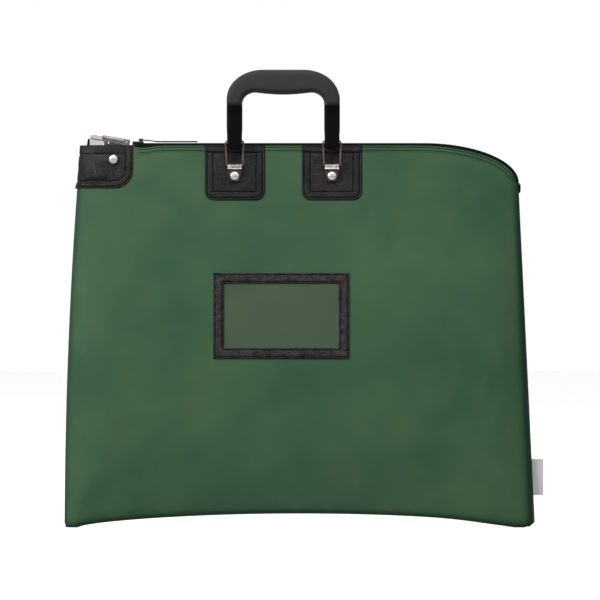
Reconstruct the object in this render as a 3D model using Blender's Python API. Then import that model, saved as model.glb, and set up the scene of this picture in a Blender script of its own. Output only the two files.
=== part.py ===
"""Locking cash deposit bag: a zipped fabric bag with a rigid handle and a pop-up zip lock.

The bag stands upright on its two bottom corners, its front facing -Y. Lengths below are in
millimetres, and every mesh is scaled to metres when it is made.
"""
import math

import bmesh
import bpy
from mathutils import Matrix, Vector

MM = 0.001

# ---- driving dimensions, mm -------------------------------------------------------------
BAG_MID_Y = 6.3            # the bag's middle plane, so that the whole part is centred on y = 0
BOTTOM_LEFT_X, BOTTOM_RIGHT_X = -259.2, 248.9
TOP_LEFT_X, TOP_RIGHT_X = -242.0, 232.7
TOP_Z = 416.5              # top of the zip chain
CORNER_TOP_Z = 413.0       # top of the bag in the lock corner
ARC_START_X, ARC_DROP = 130.0, 43.0     # the zip runs down round the upper right corner
LEFT_BOW = 4.0             # the left side bows out by this much at half height
ARCH_RISE, FOOT = 15.0, 14.0            # the bottom edge arches up between two flat feet
EDGE_DEPTH, BASE_DEPTH, ROOF_DEPTH, BELLY = 2.0, 12.0, 12.0, 12.0
ROOF_END_DEPTH = 5.0
SEAM = 0.15                # half the gap between the front and back panels
PANEL = 1.2                # laminated fabric with its lining
GAP = 0.3                  # between pieces that touch

HANDLE_X, LEG_SPREAD = -22.85, 52.4     # middle of the handle, and its legs either side
HANDLE_TOP_Z, SHOULDER_Z = 494.9, 462.2
LEG_HALF, LEG_END_HALF, LEG_DEPTH, GRIP_DEPTH = 8.5, 8.1, 4.8, 9.5
LEG_END_Z = 408.0
RING_WIRE, RING_TOP_HALF, RING_LOW_HALF = 1.0, 9.75, 8.6
RING_LENGTH, RING_LEAN = 28.0, math.radians(15)
RING_HINGE_Z, RING_HINGE_OUT = 390.5, 20.2      # height, and distance in front of the mid plane
PATCH_WIDTH, PATCH_TOP_Z, PATCH_LOW_Z, PATCH_ROUND = 65.0, 412.2, 353.5, 10.0
RIVET_Z, RIVET_R = 380.0, 5.0

FRAME_X, FRAME_Z = (-98.3, 48.1), (183.1, 275.4)
FRAME_BORDER = 11.3

LOCK_COVER_X, LOCK_COVER_Z = (-240.5, -185.2), (366.8, 412.0)
LOCK_CASE = ((-229.0, -193.0), (-6.0, 6.0), (374.0, 412.1))
LOCK_HINGE = (-192.6, 417.3)            # X and Z of the pin at the bar's right end
LOCK_TILT = math.radians(9.6)
LOCK_BAR_LENGTH, LOCK_BAR_THICK, LOCK_BAR_HALF_WIDTH = 40.0, 6.2, 5.0
SLIDER_X = -180.0

COLOURS = {                # base colour, roughness, metallic
    "bag_fabric": ((0.045, 0.100, 0.055), 0.75, 0.0),
    "black_vinyl": ((0.030, 0.028, 0.029), 0.55, 0.0),
    "grip_plastic": ((0.045, 0.044, 0.044), 0.6, 0.0),
    "clear_film": ((0.55, 0.65, 0.55), 0.12, 0.0),
    "zip_tape": ((0.012, 0.012, 0.013), 0.9, 0.0),
    "zip_coil": ((0.015, 0.015, 0.016), 0.4, 0.0),
    "chrome": ((0.80, 0.79, 0.78), 0.12, 1.0),
    "lock_steel": ((0.62, 0.60, 0.61), 0.3, 1.0),
    "nickel_wire": ((0.50, 0.45, 0.38), 0.28, 1.0),
    "dark_steel": ((0.10, 0.10, 0.11), 0.35, 1.0),
    "label_fabric": ((0.39, 0.33, 0.35), 0.9, 0.0),
    "stiffener": ((0.20, 0.20, 0.19), 0.6, 0.0),
}


def clear_scene():
    for obj in list(bpy.data.objects):
        bpy.data.objects.remove(obj, do_unlink=True)


def material(name):
    mat = bpy.data.materials.get(name)
    if mat is None:
        mat = bpy.data.materials.new(name)
        mat.use_nodes = True
        colour, roughness, metallic = COLOURS[name]
        shader = mat.node_tree.nodes["Principled BSDF"]
        shader.inputs["Base Color"].default_value = (*colour, 1.0)
        shader.inputs["Roughness"].default_value = roughness
        shader.inputs["Metallic"].default_value = metallic
    return mat


# ---- the bag's form -----------------------------------------------------------------------
def clamp01(value):
    return min(1.0, max(0.0, value))


def smooth(value):
    value = clamp01(value)
    return value * value * (3.0 - 2.0 * value)


def mix(a, b, t):
    return a + (b - a) * t


def left_edge(z):
    up = clamp01(z / CORNER_TOP_Z)
    return mix(BOTTOM_LEFT_X, TOP_LEFT_X, up) - LEFT_BOW * 4.0 * up * (1.0 - up)


def right_edge(z):
    return mix(BOTTOM_RIGHT_X, TOP_RIGHT_X, z / (TOP_Z - ARC_DROP))


def bottom_z(x):
    span = BOTTOM_RIGHT_X - BOTTOM_LEFT_X - 2.0 * FOOT
    across = clamp01((x - BOTTOM_LEFT_X - FOOT) / span)
    return ARCH_RISE * math.sin(math.pi * across) ** 0.6 if 0.0 < across < 1.0 else 0.0


def top_z(x):
    if x > ARC_START_X:
        across = clamp01((x - ARC_START_X) / (TOP_RIGHT_X - ARC_START_X))
        return TOP_Z - ARC_DROP + ARC_DROP * math.sqrt(1.0 - across * across)
    return mix(CORNER_TOP_Z, TOP_Z, smooth((x + 192.0) / 8.0))


def depth(x, z):
    """Half thickness of the filled bag at a point of its outline."""
    up = clamp01((z - bottom_z(x)) / (top_z(x) - bottom_z(x)))
    roof = mix(ROOF_DEPTH, ROOF_END_DEPTH, smooth((x - 110.0) / (TOP_RIGHT_X - 110.0)))
    pillow = mix(BASE_DEPTH, roof, up) + BELLY * math.sin(math.pi * up ** 0.75)
    roll = mix(FOOT, 50.0, smooth(z / 100.0))
    right_rim = EDGE_DEPTH + (ROOF_END_DEPTH - EDGE_DEPTH) * smooth((z - 340.0) / 32.0)
    for rim, distance in ((EDGE_DEPTH, x - left_edge(z)), (right_rim, right_edge(z) - x)):
        inward = clamp01(distance / roll)
        pillow = rim + (pillow - rim) * math.sqrt(1.0 - (1.0 - inward) ** 2)
    return pillow


def zip_line(count_straight=17, count_arc=11):
    """Points and outward normals along the top of the bag, left to right."""
    line = []
    for i in range(count_straight):
        x = mix(TOP_LEFT_X + 57.5, ARC_START_X, i / count_straight)
        line.append((x, top_z(x), 0.0, 1.0))
    width = TOP_RIGHT_X - ARC_START_X
    for i in range(count_arc + 1):
        angle = math.pi / 2.0 * (1.0 - i / count_arc)
        normal = Vector((math.cos(angle) * ARC_DROP, math.sin(angle) * width)).normalized()
        line.append((ARC_START_X + width * math.cos(angle),
                     TOP_Z - ARC_DROP + ARC_DROP * math.sin(angle), normal.x, normal.y))
    return line


# ---- mesh makers ----------------------------------------------------------------------------
def make(name, verts, faces, mat, origin=(0.0, 0.0, 0.0), smooth_angle=35.0, mirror_y=False):
    """One object from points in mm about the bag's mid plane, with its origin at a joint axis."""
    mesh = bpy.data.meshes.new(name)
    side = -1.0 if mirror_y else 1.0
    place = Vector((origin[0], origin[1] + BAG_MID_Y, origin[2]))
    points = [(Vector((v[0], v[1] * side + BAG_MID_Y, v[2])) - place) * MM for v in verts]
    mesh.from_pydata(points, [], faces)
    work = bmesh.new()
    work.from_mesh(mesh)
    bmesh.ops.recalc_face_normals(work, faces=work.faces)
    work.to_mesh(mesh)
    work.free()
    mesh.shade_smooth()
    mesh.set_sharp_from_angle(angle=math.radians(smooth_angle))
    obj = bpy.data.objects.new(name, mesh)
    obj.location = place * MM
    bpy.context.scene.collection.objects.link(obj)
    obj.data.materials.append(material(mat))
    return obj


def slab(name, front, back, mat, keep=None, **options):
    """A closed sheet between two grids of points; keep(row, column) drops cells to leave a hole."""
    rows, cols = len(front), len(front[0])
    cells = {(r, c) for r in range(rows - 1) for c in range(cols - 1)
             if keep is None or keep(r, c)}
    used, verts, faces = {}, [], []

    def vert(side, r, c):
        if (side, r, c) not in used:
            used[(side, r, c)] = len(verts)
            verts.append((front, back)[side][r][c])
        return used[(side, r, c)]

    for r, c in sorted(cells):
        ring = [(r, c), (r, c + 1), (r + 1, c + 1), (r + 1, c)]
        faces.append([vert(0, *p) for p in ring])
        faces.append([vert(1, *p) for p in reversed(ring)])
        sides = [((r - 1, c), 0), ((r, c + 1), 1), ((r + 1, c), 2), ((r, c - 1), 3)]
        for neighbour, k in sides:
            if neighbour not in cells:
                a, b = ring[k], ring[(k + 1) % 4]
                faces.append([vert(0, *b), vert(0, *a), vert(1, *a), vert(1, *b)])
    return make(name, verts, faces, mat, **options)


def on_bag(name, zs, x_span, lift, thick, mat, columns=6, keep=None, **options):
    """A sheet that follows the bag's front, lift in front of it; x_span(z) gives its two edges."""
    grids = ([], [])
    for z in zs:
        x0, x1 = x_span(z)
        xs = [mix(x0, x1, c / columns) for c in range(columns + 1)] if isinstance(columns, int) \
            else columns
        for grid, out in zip(grids, (lift + thick, lift)):
            grid.append([(x, -SEAM - depth(x, z) - out, z) for x in xs])
    return slab(name, grids[0], grids[1], mat, keep=keep, **options)


def block(name, xs, ys, zs, mat, bevel=0.0, **options):
    verts = [(x, y, z) for x in xs for y in ys for z in zs]
    faces = [(0, 1, 3, 2), (4, 6, 7, 5), (0, 4, 5, 1), (2, 3, 7, 6), (0, 2, 6, 4), (1, 5, 7, 3)]
    obj = make(name, verts, faces, mat, **options)
    if bevel:
        mod = obj.modifiers.new("edges", "BEVEL")
        mod.width = bevel * MM
        mod.segments = 2
        mod.limit_method = "ANGLE"
    return obj


def turned(name, profile, mat, centre, axis="y", sides=24, **options):
    """A turned piece: profile of (along, radius) points from one end to the other."""
    verts, faces = [], []
    for along, radius in profile:
        for k in range(sides):
            a = 2.0 * math.pi * k / sides
            u, v = radius * math.cos(a), radius * math.sin(a)
            x, y, z = centre
            verts.append({"x": (x + along, y + u, z + v), "y": (x + u, y + along, z + v),
                          "z": (x + u, y + v, z + along)}[axis])
    for ring in range(len(profile) - 1):
        for k in range(sides):
            n = (k + 1) % sides
            faces.append((ring * sides + k, ring * sides + n,
                          (ring + 1) * sides + n, (ring + 1) * sides + k))
    faces.append(tuple(range(sides)))
    faces.append(tuple(range((len(profile) - 1) * sides, len(profile) * sides)))
    return make(name, verts, faces, mat, **options)


def swept(name, sections, mat, closed=False, **options):
    """A skin through equal rings of points, capped at its ends or closed on itself."""
    n = len(sections[0])
    verts = [p for ring in sections for p in ring]
    faces = []
    count = len(sections)
    for i in range(count if closed else count - 1):
        j = (i + 1) % count
        for k in range(n):
            m = (k + 1) % n
            faces.append((i * n + k, i * n + m, j * n + m, j * n + k))
    if not closed:
        faces.append(tuple(range(n)))
        faces.append(tuple(range((count - 1) * n, count * n)))
    return make(name, verts, faces, mat, **options)


def cut(obj, cutter):
    """Take the cutter's shape out of a piece for good."""
    mod = obj.modifiers.new("cut", "BOOLEAN")
    mod.operation = "DIFFERENCE"
    mod.solver = "EXACT"
    mod.object = cutter
    bpy.context.view_layer.update()
    graph = bpy.context.evaluated_depsgraph_get()
    mesh = bpy.data.meshes.new_from_object(obj.evaluated_get(graph))
    obj.modifiers.clear()
    obj.data = mesh
    bpy.data.objects.remove(cutter, do_unlink=True)


def rounded_span(x0, x1, low_z, radius):
    """Edges of a sheet whose two lower corners are rounded."""
    def span(z):
        rise = min(radius, max(0.0, z - low_z))
        inset = radius - math.sqrt(max(0.0, radius ** 2 - (radius - rise) ** 2))
        return x0 + inset, x1 - inset
    return span


def rounded_rows(low_z, high_z, radius, upper_rows):
    rows = [low_z + radius * (1.0 - math.cos(math.radians(a))) for a in (12, 35, 60, 90)]
    return rows + [mix(rows[-1], high_z, (i + 1) / upper_rows) for i in range(upper_rows)]


# ---- bag panels and zip -----------------------------------------------------------------------
def panels():
    tops = [(mix(TOP_LEFT_X, TOP_LEFT_X + 57.0, t), None) for t in (0, .05, .14, .28, .5, .8, 1)]
    tops = [(x, top_z(x), 0.0, 1.0) for x, _ in tops]
    tops = [p for p in tops] + zip_line(11, 8)
    low_rows = ((0.0, 0.0), (0.5, 0.0), (0.78, 0.6), (0.93, 2.6), (1.0, 6.0))
    rows = len(low_rows) + 13
    outer = [[None] * len(tops) for _ in range(rows)]
    inner = [[None] * len(tops) for _ in range(rows)]
    for c, (px, pz, nx, nz) in enumerate(tops):
        x_top, z_top = px - 1.8 * nx, pz - 1.8 * nz
        share = (px - TOP_LEFT_X) / (TOP_RIGHT_X - TOP_LEFT_X)
        x_low = mix(BOTTOM_LEFT_X, BOTTOM_RIGHT_X, share)
        z_low = bottom_z(x_low)
        for r in range(rows):
            if r < len(low_rows):
                out, z = low_rows[r][0], z_low + low_rows[r][1]
            else:
                step = (r - len(low_rows) + 1) / 13
                out, z = 1.0, mix(z_low + 6.0, z_top, step)
            up = (z - z_low) / (z_top - z_low)
            x = mix(x_low, x_top, up) - LEFT_BOW * 4.0 * up * (1.0 - up) * (1.0 - share)
            thick = depth(x, z)
            outer[r][c] = (x, -SEAM - out * thick, z)
            inner[r][c] = (x, -SEAM - out * (thick - PANEL), z + PANEL * (1.0 - up))
    slab("front_panel", outer, inner, "bag_fabric")
    slab("back_panel", outer, inner, "bag_fabric", mirror_y=True)


def zip_strips(line, inner_edge, outer_edge, drop_low, drop_high):
    """A strip along the zip: inner_edge and outer_edge give its span from the mid plane."""
    low, high = [], []
    for x, z, nx, nz in line:
        for grid, drop in ((low, drop_low), (high, drop_high)):
            grid.append([(x - nx * drop, -inner_edge(x, z), z - nz * drop),
                         (x - nx * drop, -outer_edge(x, z), z - nz * drop)])
    return high, low


def zipper():
    line = [p for p in zip_line(17, 11)]
    tape = zip_strips(line, lambda x, z: 3.0, lambda x, z: depth(x, z) + SEAM, 1.5, 0.7)
    teeth = zip_strips(line, lambda x, z: 0.9, lambda x, z: 2.7, 2.3, 0.0)
    for side, mirrored in (("front", False), ("back", True)):
        slab("zip_tape_" + side, *tape, "zip_tape", mirror_y=mirrored)
        slab("zip_teeth_" + side, *teeth, "zip_coil", mirror_y=mirrored)
    x, z, nx, nz = line[-1]
    block("zip_end_stop", (x - 1.8, x + 0.4), (-2.6, 2.6), (z - 3.6, z - GAP), "dark_steel")


def slider_and_pull():
    x = SLIDER_X
    body = block("slider_body", (x - 6.5, x + 5.5), (-4.4, 4.4), (412.4, 418.0), "dark_steel",
                 origin=(x, 0.0, TOP_Z))
    for side in (-1, 1):
        inner, outer = 0.55 * side, 8.0 * side
        cutter = block("slider_groove", (x - 12.0, x + 12.0), sorted((inner, outer)),
                       (413.7, 416.8), "dark_steel")
        cut(body, cutter)
    for lug_y in (-2.4, 1.4):
        block("slider_lug_" + ("front" if lug_y < 0 else "back"), (x + 0.5, x + 4.5),
              (lug_y, lug_y + 1.0), (418.3, 421.2), "dark_steel", origin=(x, 0.0, TOP_Z))
    block("slider_lock_tongue", (x - 19.0, x - 2.0), (-1.6, 1.6), (409.0, 412.1), "lock_steel",
          origin=(x, 0.0, TOP_Z))
    pull_axis = (x + 2.5, 0.0, 419.8)
    block("pull_link", (x + 1.5, x + 5.5), (-1.1, 1.1), (418.9, 420.7), "nickel_wire", bevel=0.3,
          origin=pull_axis)
    block("pull_tab", (x + 5.8, x + 64.0), (-4.6, 4.6), (418.4, 419.8), "black_vinyl",
          origin=pull_axis)


# ---- lock corner ----------------------------------------------------------------------------------
def lock_corner():
    x0, x1 = LOCK_COVER_X
    z0, z1 = LOCK_COVER_Z

    def span(z):
        left = left_edge(z) + 2.0
        rise = min(20.0, z - z0)
        return left, x1 - (20.0 - math.sqrt(max(0.0, 400.0 - (20.0 - rise) ** 2)))

    zs = [z0 + 20.0 * (1.0 - math.cos(math.radians(a))) for a in (12, 32, 52, 72, 90)]
    zs += [mix(zs[-1], z1, t) for t in (0.35, 0.7, 1.0)]
    for side, mirrored in (("front", False), ("back", True)):
        on_bag("lock_cover_" + side, zs, span, 0.9, 1.3, "black_vinyl", columns=10,
               mirror_y=mirrored)
    case = block("lock_case", *LOCK_CASE, "lock_steel")
    pocket = block("bolt_pocket", (-235.0, -215.5), (-4.4, 4.4), (396.0, 420.0), "lock_steel")
    cut(case, pocket)
    throat = block("tongue_throat", (-202.0, -190.0), (-2.2, 2.2), (408.2, 420.0), "lock_steel")
    cut(case, throat)
    hinge_x, hinge_z = LOCK_HINGE
    axis = (hinge_x, 0.0, hinge_z)
    post = block("lock_hinge_post", (hinge_x - 2.6, hinge_x + 2.4), (-7.6, 7.6),
                 (412.4, hinge_z + 2.4), "lock_steel")
    cut(post, block("bar_room", (hinge_x - 9.0, hinge_x + 9.0), (-LOCK_BAR_HALF_WIDTH - 0.6,
        LOCK_BAR_HALF_WIDTH + 0.6), (413.4, 430.0), "lock_steel"))
    cut(post, turned("pin_room", [(-9.0, 1.3), (9.0, 1.3)], "lock_steel", axis, sides=16))
    turned("lock_hinge_pin", [(-7.9, 1.0), (7.9, 1.0)], "chrome", axis, sides=16)
    bar = block("lock_head_bar", (hinge_x - LOCK_BAR_LENGTH, hinge_x + 3.0),
                (-LOCK_BAR_HALF_WIDTH, LOCK_BAR_HALF_WIDTH),
                (hinge_z - LOCK_BAR_THICK / 2, hinge_z + LOCK_BAR_THICK / 2), "lock_steel",
                bevel=0.8, origin=axis)
    cut(bar, turned("pin_bore", [(-9.0, 1.3), (9.0, 1.3)], "lock_steel", axis, sides=16))
    key_x = hinge_x - 32.0
    cut(bar, turned("key_bore", [(-9.0, 3.3), (9.0, 3.3)], "lock_steel",
                    (key_x, 0.0, hinge_z), axis="z", sides=20))
    bolt = block("lock_bolt", (hinge_x - 42.0, hinge_x - 25.0), (-4.0, 4.0),
                 (hinge_z - 13.6, hinge_z - LOCK_BAR_THICK / 2 - GAP), "chrome", origin=axis)
    cut(bolt, turned("cam_room", [(-2.4, 3.6), (4.0, 3.6)], "chrome",
                     (key_x, 0.0, hinge_z - LOCK_BAR_THICK / 2), axis="z", sides=20))
    plug_axis = (key_x, 0.0, hinge_z)
    plug = turned("key_plug", [(-2.7, 3.0), (LOCK_BAR_THICK / 2 + 0.5, 3.0)], "chrome",
                  plug_axis, axis="z", sides=20, origin=plug_axis)
    cut(plug, block("keyway", (key_x - 2.0, key_x + 2.0), (-0.45, 0.45), (417.6, 424.0), "chrome"))
    cam = turned("lock_cam", [(-4.9, 3.1), (-3.0, 3.1)], "dark_steel", plug_axis, axis="z",
                 sides=20, origin=plug_axis)
    pieces = [bar, bolt, plug, cam]
    pivot = Matrix.Translation(Vector((hinge_x, BAG_MID_Y, hinge_z)) * MM)
    bpy.context.view_layer.update()
    lift = pivot @ Matrix.Rotation(LOCK_TILT, 4, "Y") @ pivot.inverted()
    for piece in pieces:
        piece.matrix_world = lift @ piece.matrix_world
    turned_spring("lock_spring", (-225.5, 0.0), 396.4, 407.6)
    for name, z_side in (("cover_rivet", -1.0), ("cover_rivet_cap", 1.0)):
        rx, rz = -206.4, 398.0
        stand = max(depth(rx + RIVET_R * dx, rz) for dx in (-1.0, 0.0, 1.0))
        dome(name, rx, rz, stand + SEAM + 0.9 + 1.3 + GAP, mirror_y=z_side > 0)


def turned_spring(name, centre, z0, z1, radius=2.6, wire=0.5, turns=3.0):
    sections = []
    steps = int(turns * 14)
    for i in range(steps + 1):
        a = 2.0 * math.pi * turns * i / steps
        radial = Vector((math.cos(a), math.sin(a), 0.0))
        middle = Vector((centre[0], centre[1], mix(z0 + wire, z1 - wire, i / steps)))
        middle += radial * radius
        sections.append([tuple(middle + radial * wire * math.cos(b)
                               + Vector((0, 0, wire * math.sin(b))))
                         for b in (2.0 * math.pi * k / 6 for k in range(6))])
    return swept(name, sections, "nickel_wire")


def dome(name, x, z, out, mirror_y=False):
    """A domed rivet head whose flat back stands out from the bag's mid plane."""
    profile = [(0.0, RIVET_R), (-0.6, RIVET_R), (-1.5, 4.5), (-2.2, 3.5), (-2.7, 2.2), (-2.95, 0.9)]
    turned(name, profile, "chrome", (x, -out, z), sides=20, mirror_y=mirror_y)


# ---- handle, rings, brackets -----------------------------------------------------------------------
def bracket(name, x):
    """A strap folded over the ring's lower bar, its two legs riveted together below."""
    out, z, r = RING_HINGE_OUT, RING_HINGE_Z, 1.9
    path = [(r - out, 374.0, 4.2), (r - out, 379.0, 6.4), (r - out, 384.0, 7.6),
            (r - out, 388.5, 7.2)]
    for k in range(7):
        a = math.pi * k / 6
        path.append((-out + r * math.cos(a), z + r * math.sin(a), 7.0))
    path += [(-out - r, 389.2, 7.4), (-out - r + 0.3, 387.9, 7.8), (0.35 - out, 386.0, 7.4),
             (0.35 - out, 379.0, 6.4), (0.35 - out, 374.0, 4.2)]
    half = 0.5
    front, back = [], []
    for i, (y, pz, width) in enumerate(path):
        before = Vector(path[max(0, i - 1)][:2])
        after = Vector(path[min(len(path) - 1, i + 1)][:2])
        along = (after - before).normalized()
        side = Vector((along.y, -along.x)) * half
        front.append([(x - width, y + side.x, pz + side.y), (x + width, y + side.x, pz + side.y)])
        back.append([(x - width, y - side.x, pz - side.y), (x + width, y - side.x, pz - side.y)])
    slab(name, front, back, "nickel_wire")


def ring(name, x):
    """A wire ring: a rounded trapezoid in a plane that leans forward from its lower bar."""
    corners = [(RING_LOW_HALF, 0.0, 2.6), (RING_TOP_HALF, RING_LENGTH, 3.4),
               (-RING_TOP_HALF, RING_LENGTH, 3.4), (-RING_LOW_HALF, 0.0, 2.6)]
    path = []
    for i, (cx, cz, radius) in enumerate(corners):
        here = Vector((cx, cz))
        before = (Vector(corners[i - 1][:2]) - here).normalized() * radius
        after = (Vector(corners[(i + 1) % 4][:2]) - here).normalized() * radius
        for k in range(6):
            t = k / 5
            path.append(here + before * (1 - t) ** 2 + after * t ** 2)
    up = Vector((0.0, -math.sin(RING_LEAN), math.cos(RING_LEAN)))
    out = Vector((0.0, -math.cos(RING_LEAN), -math.sin(RING_LEAN)))
    base = Vector((x, -RING_HINGE_OUT, RING_HINGE_Z))
    sections = []
    for i, point in enumerate(path):
        along = (path[(i + 1) % len(path)] - path[i - 1]).normalized()
        side = Vector((along.y, 0.0, 0.0)) - up * along.x
        middle = base + Vector((point.x, 0.0, 0.0)) + up * point.y
        sections.append([tuple(middle + (side * math.cos(a) + out * math.sin(a)) * RING_WIRE)
                         for a in (2.0 * math.pi * k / 8 for k in range(8))])
    swept(name, sections, "nickel_wire", closed=True, origin=tuple(base))


def handle_axis():
    """Y and Z of the rings' top bars, where the handle hangs."""
    return (-RING_HINGE_OUT - RING_LENGTH * math.sin(RING_LEAN),
            RING_HINGE_Z + RING_LENGTH * math.cos(RING_LEAN))


def handle():
    axis_y, axis_z = handle_axis()
    half = []                  # outer point, inner point and half depth, right leg to the middle
    for z, width in ((LEG_END_Z, 4.6), (409.2, 6.6), (411.6, 7.8), (415.0, LEG_END_HALF),
                     (424.0, LEG_END_HALF), (428.0, LEG_HALF), (440.0, LEG_HALF)):
        half.append(((LEG_SPREAD + width, z), (LEG_SPREAD - width, z), LEG_DEPTH))
    half.append(((LEG_SPREAD + LEG_HALF, 452.0), (LEG_SPREAD - LEG_HALF, 449.0), 6.0))
    for a in (0, 22, 45, 68, 90):
        c, s = math.cos(math.radians(a)), math.sin(math.radians(a))
        outer = (21.9 + 39.0 * c, SHOULDER_Z + (HANDLE_TOP_Z - SHOULDER_Z) * s)
        half.append((outer, (29.9 + 14.0 * c, 457.5 + 14.0 * s), mix(7.4, GRIP_DEPTH, s)))
    half.append(((11.0, HANDLE_TOP_Z), (14.0, 470.2), GRIP_DEPTH))
    half.append(((0.0, HANDLE_TOP_Z), (0.0, 469.6), GRIP_DEPTH))
    whole = half + [((-o[0], o[1]), (-i[0], i[1]), d) for o, i, d in reversed(half[:-1])]
    sections = []
    for outer, inner, deep in whole:
        middle = (Vector(outer) + Vector(inner)) / 2
        reach = (Vector(outer) - Vector(inner)) / 2
        section = []
        for k in range(12):
            a = 2.0 * math.pi * (k + 0.5) / 12
            c = math.copysign(abs(math.cos(a)) ** 0.6, math.cos(a))
            s = math.copysign(abs(math.sin(a)) ** 0.6, math.sin(a))
            point = middle + reach * c
            section.append((HANDLE_X + point.x, axis_y + deep * s, point.y))
        sections.append(section)
    obj = swept("handle", sections, "grip_plastic", origin=(HANDLE_X, axis_y, axis_z))
    cut(obj, turned("ring_holes", [(-80.0, 1.6), (80.0, 1.6)], "grip_plastic",
                    (HANDLE_X, axis_y, axis_z), axis="x", sides=12))


def handle_mounts():
    for side, sign in (("left", -1.0), ("right", 1.0)):
        x = HANDLE_X + sign * LEG_SPREAD
        zs = rounded_rows(PATCH_LOW_Z, PATCH_TOP_Z, PATCH_ROUND, 5)
        span = rounded_span(x - PATCH_WIDTH / 2, x + PATCH_WIDTH / 2, PATCH_LOW_Z, PATCH_ROUND)
        on_bag("handle_patch_" + side, zs, span, 0.5, 1.2, "black_vinyl")
        stay_zs = [mix(362.0, 408.0, i / 4) for i in range(5)]
        on_bag("inner_stay_" + side, stay_zs, lambda z, c=x: (c - 26.0, c + 26.0), -3.2, 1.5,
               "stiffener")
        bracket("ring_bracket_" + side, x)
        dome("bracket_rivet_" + side, x, RIVET_Z, RING_HINGE_OUT + 0.15 + GAP)
        washer_out = SEAM + depth(x, RIVET_Z) - 4.2
        turned("rivet_washer_" + side, [(0.0, RIVET_R), (1.2, RIVET_R)], "nickel_wire",
               (x, -washer_out, RIVET_Z), sides=20)
        ring("wire_ring_" + side, x)


# ---- card window and label --------------------------------------------------------------------------
def card_window():
    (x0, x1), (z0, z1) = FRAME_X, FRAME_Z
    b = FRAME_BORDER
    xs = [x0, x0 + b] + [mix(x0 + b, x1 - b, i / 4) for i in range(1, 4)] + [x1 - b, x1]
    zs = [z0, z0 + b] + [mix(z0 + b, z1 - b, i / 3) for i in range(1, 3)] + [z1 - b, z1]
    last_row, last_col = len(zs) - 2, len(xs) - 2
    on_bag("card_frame", zs, lambda z: (x0, x1), 1.2, 1.3, "black_vinyl", columns=xs,
           keep=lambda r, c: r in (0, last_row) or c in (0, last_col))
    film_zs = [mix(z0 + 3.0, z1 - 3.0, i / 6) for i in range(7)]
    on_bag("card_window_film", film_zs, lambda z: (x0 + 3.0, x1 - 3.0), 0.4, 0.35, "clear_film")


def label():
    z0, z1 = 34.6, 73.9
    edge = max(right_edge(z0), right_edge(z1)) + 0.6
    block("side_label", (edge, 259.2), (-0.6, 0.6), (z0, z1), "label_fabric")


def main():
    clear_scene()
    panels()
    zipper()
    slider_and_pull()
    lock_corner()
    handle()
    handle_mounts()
    card_window()
    label()


main()
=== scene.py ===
"""The finished looks of the locking cash deposit bag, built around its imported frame.

Lengths are in millimetres about the bag's middle plane, and meshes are made in metres.
"""
import math

import bpy
from mathutils import Matrix, Vector, noise


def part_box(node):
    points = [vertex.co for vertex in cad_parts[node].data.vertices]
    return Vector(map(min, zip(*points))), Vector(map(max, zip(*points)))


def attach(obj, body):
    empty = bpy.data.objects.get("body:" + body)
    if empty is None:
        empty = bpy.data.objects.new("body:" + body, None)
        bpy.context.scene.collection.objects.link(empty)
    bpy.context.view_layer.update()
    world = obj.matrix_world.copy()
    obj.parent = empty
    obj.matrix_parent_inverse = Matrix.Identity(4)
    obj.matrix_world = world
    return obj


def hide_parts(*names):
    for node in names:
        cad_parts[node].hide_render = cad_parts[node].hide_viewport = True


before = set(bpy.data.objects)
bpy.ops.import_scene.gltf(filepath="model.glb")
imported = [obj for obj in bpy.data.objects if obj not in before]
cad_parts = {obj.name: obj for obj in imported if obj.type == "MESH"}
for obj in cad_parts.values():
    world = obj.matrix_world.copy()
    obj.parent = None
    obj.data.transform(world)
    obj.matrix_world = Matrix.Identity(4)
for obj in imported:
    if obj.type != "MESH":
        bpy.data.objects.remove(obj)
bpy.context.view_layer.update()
bpy.ops.object.select_all(action="DESELECT")

MM = 0.001


def box_mm(node):
    """A node's lowest and highest corners in mm."""
    low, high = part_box(node)
    return [v / MM for v in low], [v / MM for v in high]


# ---- measures taken from the frame ----
FRONT_LOW, FRONT_HIGH = box_mm("front_panel")
BACK_LOW = box_mm("back_panel")[0]
CHAIN_LOW, CHAIN_HIGH = box_mm("zip_teeth_front")
MID_Y = (FRONT_HIGH[1] + BACK_LOW[1]) / 2
SEAM = (BACK_LOW[1] - FRONT_HIGH[1]) / 2
BOTTOM_LEFT_X, BOTTOM_RIGHT_X = FRONT_LOW[0], FRONT_HIGH[0]
TOP_RIGHT_X, TOP_Z = CHAIN_HIGH[0], CHAIN_HIGH[2]
LOCK_CORNER_WIDTH = 57.5
TOP_LEFT_X = CHAIN_LOW[0] - LOCK_CORNER_WIDTH

# ---- the bag's own form ----
CORNER_TOP_Z = 413.0
ARC_START_X, ARC_DROP = 130.0, 43.0
DIP_X, DIP_WIDTH, DIP_DROP = -174.0, 12.0, 2.6
BOLT_SHADE_X = -232.6
LIP_EXTRA, LIP_TURN_X = 0.9, 110.0
LEFT_BOW = 4.0
ARCH_RISE, FOOT = 15.0, 14.0
SAG_X, SAG_WIDTH, SAG_DROP = 215.0, 45.0, 2.6
EDGE_DEPTH, BASE_DEPTH, ROOF_DEPTH, BELLY = 2.0, 12.0, 12.0, 12.0
ROOF_END_DEPTH = 5.0
BOTTOM_CORNER_ROUND = 6.0
HEM_ROWS, PATCH_ROWS, LOCK_ROWS = (5.4, 8.6), (2.7, 9.2), (2.0, 8.0)
PATCH_TOP_ROW_Z = 405.6
COIL_PITCH = 1.8

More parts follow.
